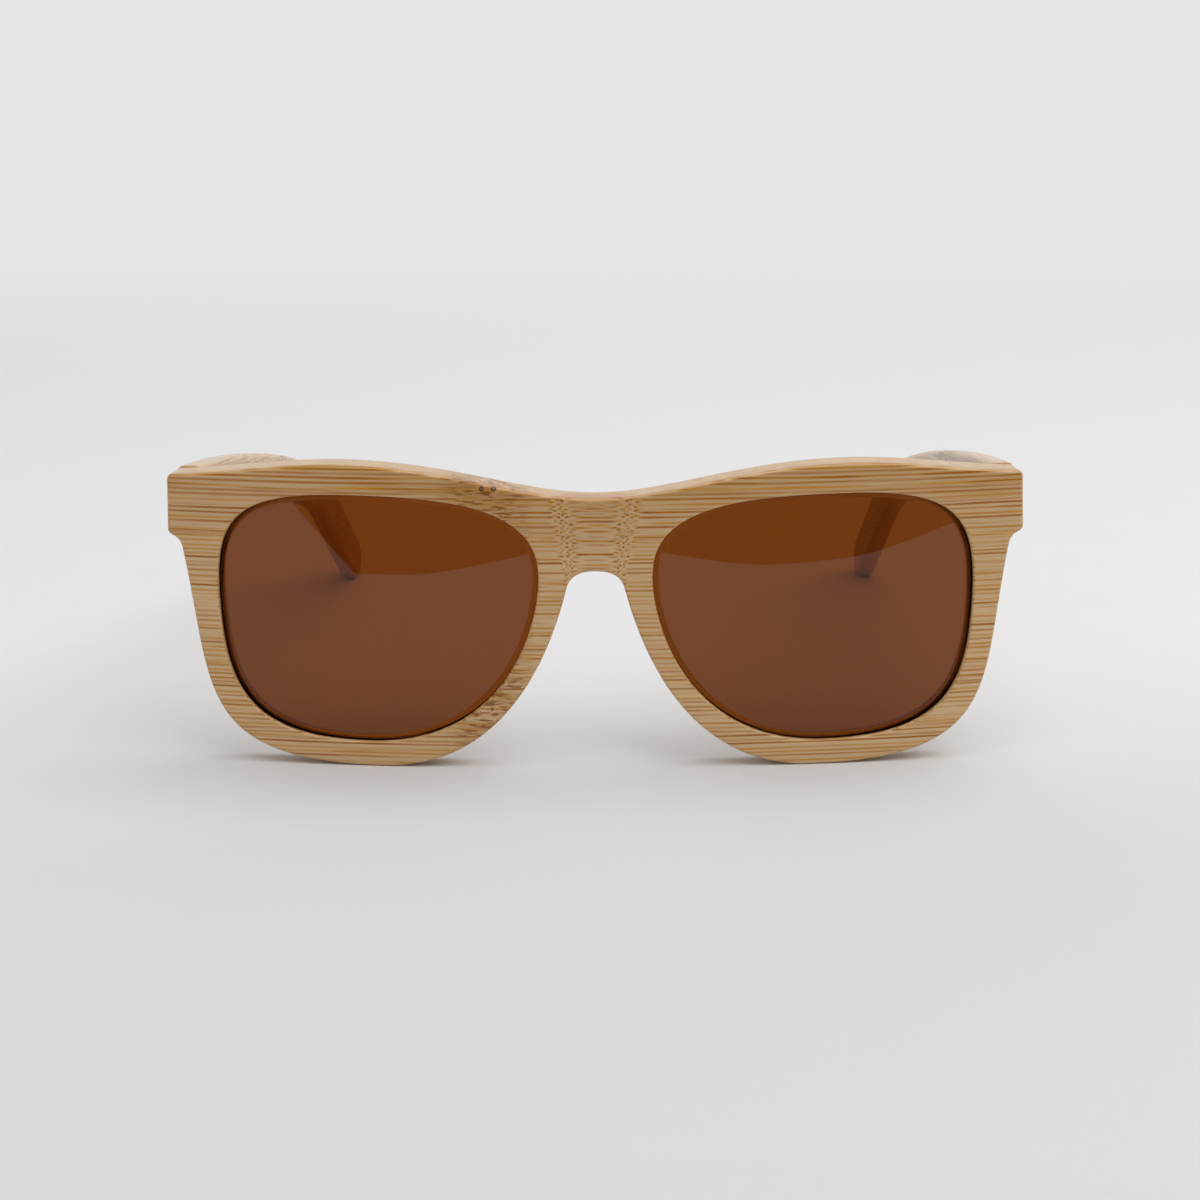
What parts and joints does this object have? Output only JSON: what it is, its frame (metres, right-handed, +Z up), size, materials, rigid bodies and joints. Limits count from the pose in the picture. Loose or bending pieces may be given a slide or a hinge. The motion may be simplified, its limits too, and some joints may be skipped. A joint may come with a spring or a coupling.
{
  "type": "wooden sunglasses",
  "caption": "Bamboo sunglasses with a carved one-piece front, tinted lenses set in a groove, and hooked temples that fold on sprung metal hinges.",
  "frame": {"origin": "on the table under the middle of the open sunglasses, half way between the front and the temple tips", "axes": "+X to the right as seen from in front, +Y from the front towards the temple tips, +Z up"},
  "size_m": [0.1448, 0.1394, 0.0538],
  "materials": {
    "bamboo": "satin oiled bamboo with fine fibres along the piece",
    "tinted_lens": "polished brown tint",
    "hinge_steel": "satin nickel silver",
    "screw_steel": "bright turned steel",
    "stop_brass": "turned brass",
    "spring_steel": "drawn spring wire"
  },
  "bodies": {
    "front": {"front_frame": "bamboo", "lens_left": "tinted_lens", "lens_right": "tinted_lens", "front_leaf_left": "hinge_steel", "front_leaf_right": "hinge_steel", "leaf_screws_left": "screw_steel", "leaf_screws_right": "screw_steel", "hinge_screw_left": "screw_steel", "hinge_screw_right": "screw_steel"},
    "slider_left": {"hinge_slider_left": "hinge_steel", "spring_stop_left": "stop_brass", "hinge_spring_left": "spring_steel"},
    "slider_right": {"hinge_slider_right": "hinge_steel", "spring_stop_right": "stop_brass", "hinge_spring_right": "spring_steel"},
    "temple_left": {"temple_left": "bamboo", "spring_box_left": "hinge_steel", "box_screws_left": "screw_steel"},
    "temple_right": {"temple_right": "bamboo", "spring_box_right": "hinge_steel", "box_screws_right": "screw_steel"}
  },
  "joints": [
    {"name": "left_fold", "type": "hinge", "parent": "front", "child": "slider_left", "pos_m": [-0.06603, -0.05753, 0.04661], "axis": [0, -0.0899, -0.996], "range_deg": [0, 84]},
    {"name": "left_flex", "type": "slide", "parent": "slider_left", "child": "temple_left", "axis": [0.0663, 0.9938, -0.0897], "range_m": [0, 0.0015], "stiffness_N_per_m": 1000, "springref_m": -0.003, "deforming": ["hinge_spring_left"]},
    {"name": "right_fold", "type": "hinge", "parent": "front", "child": "slider_right", "pos_m": [0.06603, -0.05753, 0.04661], "axis": [0, 0.0899, 0.996], "range_deg": [0, 74]},
    {"name": "right_flex", "type": "slide", "parent": "slider_right", "child": "temple_right", "axis": [-0.0663, 0.9938, -0.0897], "range_m": [0, 0.0015], "stiffness_N_per_m": 1000, "springref_m": -0.003, "deforming": ["hinge_spring_right"]}
  ]
}
